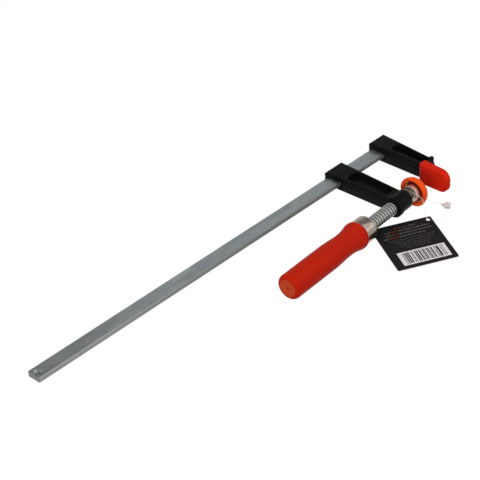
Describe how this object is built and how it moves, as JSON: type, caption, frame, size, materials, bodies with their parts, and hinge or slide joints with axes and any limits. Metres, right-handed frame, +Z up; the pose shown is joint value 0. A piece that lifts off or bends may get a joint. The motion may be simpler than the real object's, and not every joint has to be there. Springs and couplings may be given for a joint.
{
  "type": "woodworking clamp",
  "caption": "Sliding-arm woodworking clamp: a notched flat rail, a fixed arm with a soft jaw, a sliding arm with a screw, swivel pad and turned wooden handle, and a swing tag.",
  "frame": {"origin": "on the soft face of the fixed jaw, at throat depth from the rail and half its height, opposite the middle of the swivel pad", "axes": "+X along the rail from the fixed jaw to the rail's free end, +Y from the rail to the tips of the arms, +Z up through the flat of the rail"},
  "size_m": [0.4464, 0.1556, 0.0338],
  "materials": {
    "rail_zinc": "bright zinc",
    "arm_enamel": "gloss black",
    "jaw_cap_red": "glossy",
    "pad_cap_orange": "glossy",
    "pad_steel": "turned, zinc plated",
    "ring_steel": "spring steel",
    "screw_zinc": "bright zinc",
    "ferrule_steel": "polished",
    "handle_wood": "red lacquer",
    "tag_card": "printed card",
    "loop_nylon": "translucent nylon",
    "lock_nylon": "translucent nylon"
  },
  "bodies": {
    "rail": {"rail": "rail_zinc", "fixed_arm": "arm_enamel", "jaw_cap": "jaw_cap_red"},
    "sliding_arm": {"sliding_arm": "arm_enamel"},
    "tag": {"tag_loop": "loop_nylon", "tag_lock": "lock_nylon", "swing_tag": "tag_card"},
    "screw": {"screw": "screw_zinc", "ferrule": "ferrule_steel", "handle": "handle_wood"},
    "pad_ring": {"snap_ring": "ring_steel"},
    "pad": {"swivel_pad": "pad_steel", "pad_cap": "pad_cap_orange"}
  },
  "joints": [
    {"name": "arm_slide", "type": "slide", "parent": "rail", "child": "sliding_arm", "axis": [1, 0, 0], "range_m": [0, 0.351]},
    {"name": "screw_travel", "type": "slide", "parent": "sliding_arm", "child": "tag", "axis": [0.9984, 0.0558, 0], "range_m": [-0.017, 0.00042]},
    {"name": "screw_turn", "type": "hinge", "parent": "tag", "child": "screw", "pos_m": [0.02845, 0, 0], "axis": [0.9984, 0.0558, 0], "range_deg": [-1801, 46]},
    {"name": "pad_tilt", "type": "hinge", "parent": "tag", "child": "pad_ring", "pos_m": [0.02845, 0, 0], "axis": [0, 0, 1], "range_deg": [-8, 8]},
    {"name": "pad_spin", "type": "hinge", "parent": "pad_ring", "child": "pad", "pos_m": [0.02845, 0, 0], "axis": [1, 0, 0], "continuous": true}
  ],
  "couplings": [
    {"joint": "screw_turn", "follows": "screw_travel", "rad_per_m": 1848}
  ]
}
